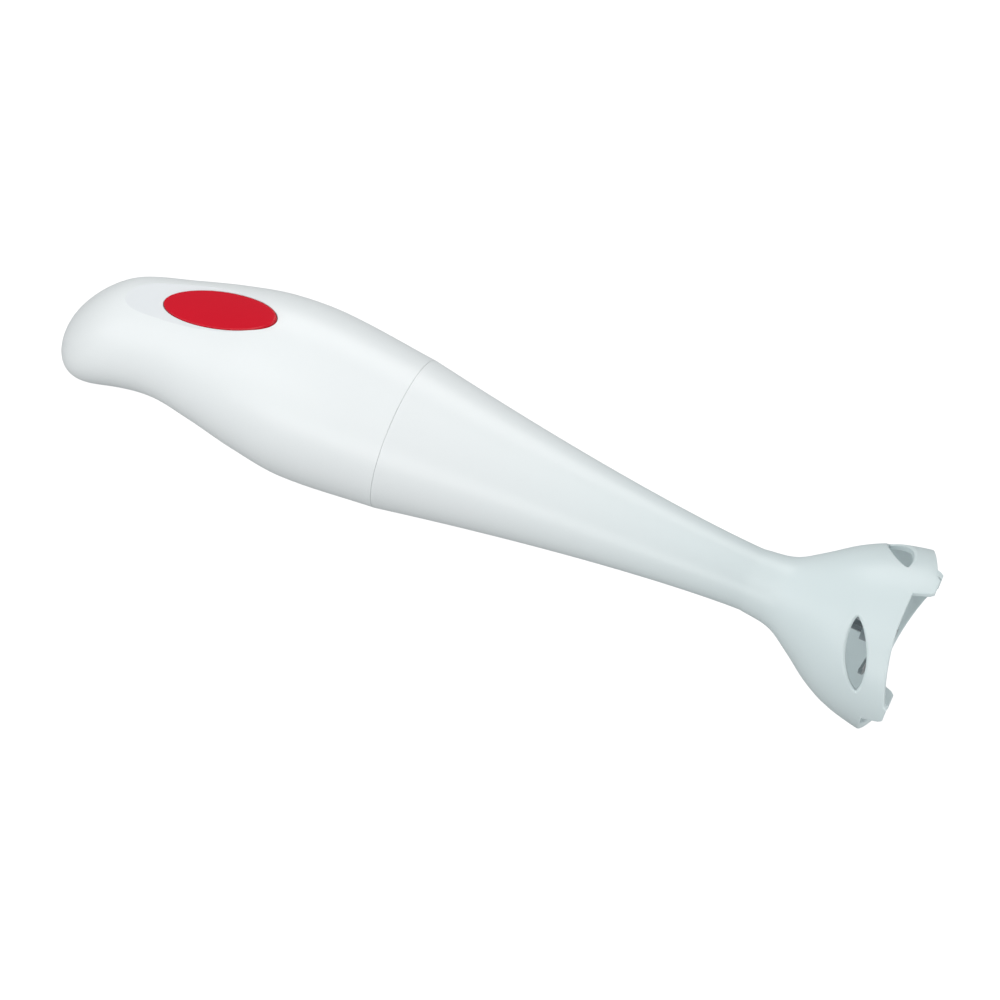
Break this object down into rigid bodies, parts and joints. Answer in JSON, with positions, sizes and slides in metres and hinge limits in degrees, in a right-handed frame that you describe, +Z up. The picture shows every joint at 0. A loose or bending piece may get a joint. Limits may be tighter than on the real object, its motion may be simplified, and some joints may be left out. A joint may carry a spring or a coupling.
{
  "type": "immersion blender",
  "caption": "Hand-held electric stick blender with a hooked pistol-like tail, sprung oval power button, tapered stick and a swirled blade bell with vents and foot lugs.",
  "frame": {"origin": "middle of the bounding box, on the surface that the blender lies on", "axes": "+X along the drive axis toward the blade, +Z up out of the power button, Y across; the handle is symmetric about the XZ plane"},
  "size_m": [0.3533, 0.072, 0.072],
  "materials": {
    "white_housing": "satin moulded white",
    "stick_housing": "satin moulded white, slightly cooler",
    "button_red": "glossy moulded red",
    "inner_plastic": "natural moulded",
    "dark_plastic": "black moulded",
    "plunger_plastic": "moulded red",
    "capacitor_case": "yellow cast case",
    "fan_plastic": "natural moulded",
    "lead_brown": "insulated lead",
    "lead_blue": "insulated lead",
    "lead_black": "insulated lead",
    "seal_rubber": "matt moulded rubber",
    "spring_steel": "drawn wire",
    "screw_steel": "zinc plated",
    "shaft_steel": "ground",
    "laminations": "stacked sheets",
    "blade_steel": "satin stainless",
    "tube_aluminium": "drawn tube",
    "brass_parts": "stamped",
    "bronze": "sintered, oil filled",
    "commutator_copper": "turned copper bars",
    "copper_wire": "enamelled winding wire",
    "carbon": "pressed carbon"
  },
  "bodies": {
    "housing": {"handle_housing": "white_housing", "shaft_housing": "stick_housing", "seam_seal": "seal_rubber", "button_spring": "spring_steel", "button_cradle": "inner_plastic", "cradle_screws": "screw_steel", "switch_body": "dark_plastic", "switch_terminals": "brass_parts", "cord_gland": "seal_rubber", "cord_clamp": "inner_plastic", "cord_clamp_screws": "screw_steel", "suppression_capacitor": "capacitor_case", "lead_live": "lead_brown", "lead_neutral": "lead_blue", "lead_switched": "lead_black", "motor_mount_rear": "seal_rubber", "motor_mount_front": "seal_rubber", "stator_core": "laminations", "field_coils": "copper_wire", "rear_bracket": "dark_plastic", "rear_bearing": "bronze", "front_bracket": "dark_plastic", "front_bearing": "bronze", "motor_screws": "screw_steel", "brush_holders": "brass_parts", "carbon_brushes": "carbon", "brush_springs": "spring_steel", "bearing_tube": "tube_aluminium", "tube_spider": "inner_plastic", "upper_bush": "bronze", "lower_bush": "bronze", "shaft_seal": "seal_rubber"},
    "button": {"power_button": "button_red"},
    "plunger": {"switch_plunger": "plunger_plastic"},
    "rotor": {"motor_shaft": "shaft_steel", "armature_core": "laminations", "armature_windings": "copper_wire", "commutator": "commutator_copper", "cooling_fan": "fan_plastic", "shaft_coupling": "dark_plastic", "drive_shaft": "shaft_steel", "blade_hub": "blade_steel", "blade": "blade_steel", "blade_nut": "blade_steel"}
  },
  "joints": [
    {"name": "button_press", "type": "slide", "parent": "housing", "child": "button", "axis": [-0.3057, 0, 0.9521], "range_m": [-0.002, 0], "stiffness_N_per_m": 600, "springref_m": 0.002, "deforming": ["button_spring"]},
    {"name": "plunger_press", "type": "slide", "parent": "housing", "child": "plunger", "axis": [-0.3057, 0, 0.9521], "range_m": [-0.002, 0]},
    {"name": "rotor_spin", "type": "hinge", "parent": "housing", "child": "rotor", "pos_m": [0, 0, 0.036], "axis": [1, 0, 0], "continuous": true}
  ],
  "couplings": [
    {"joint": "plunger_press", "follows": "button_press", "ratio": 1}
  ]
}
